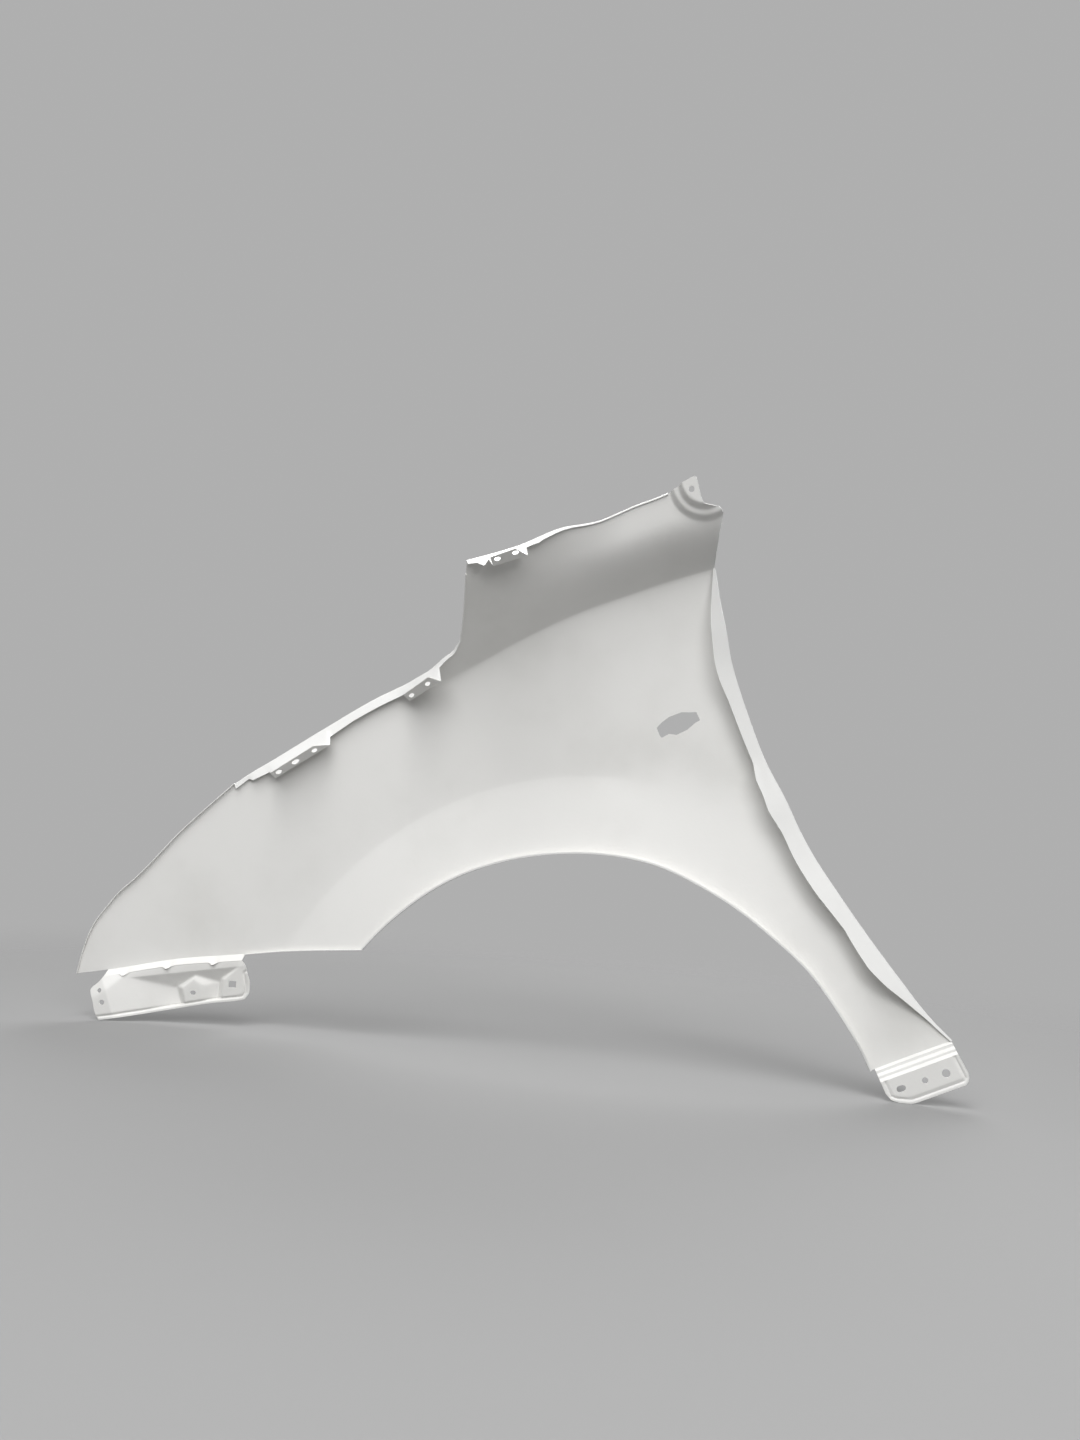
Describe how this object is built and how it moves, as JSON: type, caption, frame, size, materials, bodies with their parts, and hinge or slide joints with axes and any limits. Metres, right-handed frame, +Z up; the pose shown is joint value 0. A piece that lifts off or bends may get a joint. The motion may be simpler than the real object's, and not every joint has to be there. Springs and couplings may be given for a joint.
{
  "type": "car fender",
  "caption": "Right-hand front fender of a car: pressed painted steel skin with wheel arch, side-lamp hole, folded edge flanges and mounting tabs.",
  "frame": {"origin": "middle of the footprint at the height of the lowest edge of the two lower fixing plates", "axes": "+X rearwards along the car, +Y outboard (the painted outer side), +Z up; the nose is about 11 degrees lower than it sits on the car"},
  "size_m": [1.056, 0.1428, 0.6758],
  "materials": {
    "white_paint": "semi-gloss white paint over primer, inner side less glossy"
  },
  "bodies": {
    "root": {"fender_panel": "white_paint"}
  },
  "joints": []
}
